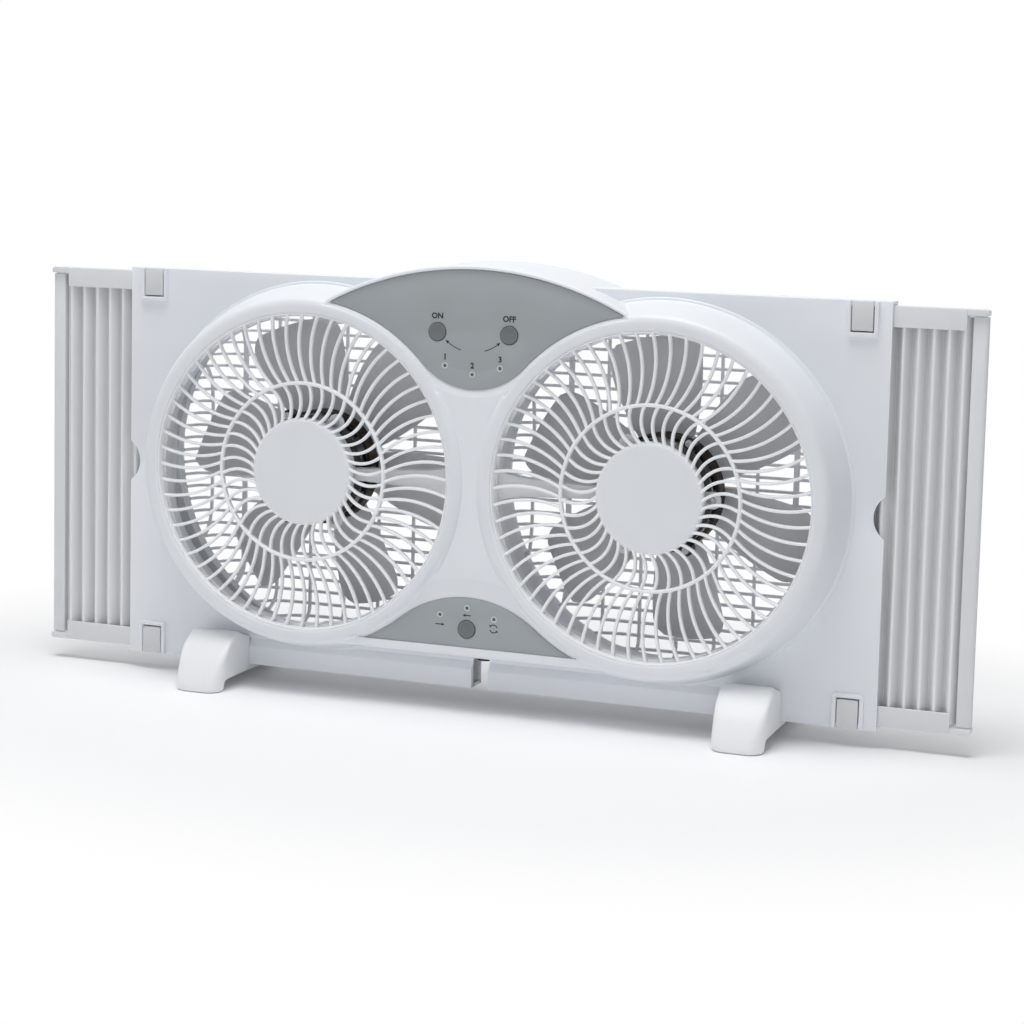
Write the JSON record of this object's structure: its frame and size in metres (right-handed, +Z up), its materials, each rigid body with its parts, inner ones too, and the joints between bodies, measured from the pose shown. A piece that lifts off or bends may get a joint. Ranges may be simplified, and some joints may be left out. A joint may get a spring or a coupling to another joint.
{
  "type": "window fan",
  "caption": "Twin window fan with spiral grilles, waist control panels, pleated side extenders that slide out, corner lock tabs and clip-on feet.",
  "frame": {"origin": "on the floor plane under the middle of the housing, at mid-depth of its edge", "axes": "+X to the right as seen from the front, +Z up, front grilles face -Y"},
  "size_m": [0.728, 0.132, 0.3274],
  "materials": {
    "housing": "satin",
    "grille": "satin",
    "feet": "satin",
    "blade": "satin",
    "overlay": "matt",
    "button": "satin",
    "lens": "gloss",
    "tab": "satin",
    "extender": "satin",
    "curtain": "matt",
    "bracket": "satin",
    "motor_case": "gloss",
    "laminations": "varnished",
    "winding": "varnished",
    "steel": "bright",
    "bronze": "sintered",
    "board": "satin",
    "black_plastic": "satin"
  },
  "bodies": {
    "housing": {"front_shell": "housing", "rear_shell": "housing", "front_grille_left": "grille", "front_grille_right": "grille", "rear_grille_left": "grille", "rear_grille_right": "grille", "motor_stator_left": "laminations", "motor_stator_right": "laminations", "motor_windings_left": "winding", "motor_windings_right": "winding", "motor_front_bell_left": "motor_case", "motor_front_bell_right": "motor_case", "motor_rear_bell_left": "motor_case", "motor_rear_bell_right": "motor_case", "motor_bushes_left": "bronze", "motor_bushes_right": "bronze", "motor_bracket_left": "bracket", "motor_bracket_right": "bracket", "motor_screws": "steel", "upper_panel": "overlay", "lower_panel": "overlay", "speed_lights": "lens", "mode_lights": "lens", "control_board": "board", "mode_board": "board", "push_switches": "black_plastic", "cord_gland": "black_plastic", "run_capacitors": "curtain", "shell_screws": "steel", "foot_left": "feet", "foot_right": "feet"},
    "left_fan": {"impeller_left": "blade", "impeller_nut_left": "steel", "motor_shaft_left": "steel", "motor_rotor_left": "steel"},
    "right_fan": {"impeller_right": "blade", "impeller_nut_right": "steel", "motor_shaft_right": "steel", "motor_rotor_right": "steel"},
    "left_extender": {"top_rail_left": "extender", "bottom_rail_left": "extender", "end_stile_left": "extender", "curtain_left": "curtain"},
    "right_extender": {"top_rail_right": "extender", "bottom_rail_right": "extender", "end_stile_right": "extender", "curtain_right": "curtain"},
    "top_left_lock": {"lock_tab_top_left": "tab"},
    "top_right_lock": {"lock_tab_top_right": "tab"},
    "bottom_left_lock": {"lock_tab_bottom_left": "tab"},
    "bottom_right_lock": {"lock_tab_bottom_right": "tab"},
    "speed_key": {"speed_button": "button"},
    "off_key": {"off_button": "button"},
    "mode_key": {"mode_button": "button"}
  },
  "joints": [
    {"name": "left_fan_spin", "type": "hinge", "parent": "housing", "child": "left_fan", "pos_m": [-0.1346, 0, 0.169], "axis": [0, 1, 0], "continuous": true},
    {"name": "right_fan_spin", "type": "hinge", "parent": "housing", "child": "right_fan", "pos_m": [0.1346, 0, 0.169], "axis": [0, 1, 0], "continuous": true},
    {"name": "left_extender_slide", "type": "slide", "parent": "housing", "child": "left_extender", "axis": [1, 0, 0], "range_m": [0, 0.0723], "deforming": ["curtain_left"]},
    {"name": "right_extender_slide", "type": "slide", "parent": "housing", "child": "right_extender", "axis": [-1, 0, 0], "range_m": [0, 0.0647], "deforming": ["curtain_right"]},
    {"name": "top_left_lock_press", "type": "hinge", "parent": "housing", "child": "top_left_lock", "pos_m": [-0.275, -0.0086, 0.31], "axis": [1, 0, 0], "range_deg": [0, 5], "stiffness_Nm_per_rad": 0.06},
    {"name": "top_right_lock_press", "type": "hinge", "parent": "housing", "child": "top_right_lock", "pos_m": [0.275, -0.0086, 0.31], "axis": [1, 0, 0], "range_deg": [0, 5], "stiffness_Nm_per_rad": 0.06},
    {"name": "bottom_left_lock_press", "type": "hinge", "parent": "housing", "child": "bottom_left_lock", "pos_m": [-0.275, -0.0086, 0.016], "axis": [-1, 0, 0], "range_deg": [0, 5], "stiffness_Nm_per_rad": 0.06},
    {"name": "bottom_right_lock_press", "type": "hinge", "parent": "housing", "child": "bottom_right_lock", "pos_m": [0.275, -0.0086, 0.016], "axis": [-1, 0, 0], "range_deg": [0, 5], "stiffness_Nm_per_rad": 0.06},
    {"name": "speed_key_press", "type": "slide", "parent": "housing", "child": "speed_key", "axis": [0, 1, 0], "range_m": [0, 0.001], "stiffness_N_per_m": 600},
    {"name": "off_key_press", "type": "slide", "parent": "housing", "child": "off_key", "axis": [0, 1, 0], "range_m": [0, 0.001], "stiffness_N_per_m": 600},
    {"name": "mode_key_press", "type": "slide", "parent": "housing", "child": "mode_key", "axis": [0, 1, 0], "range_m": [0, 0.001], "stiffness_N_per_m": 600}
  ]
}
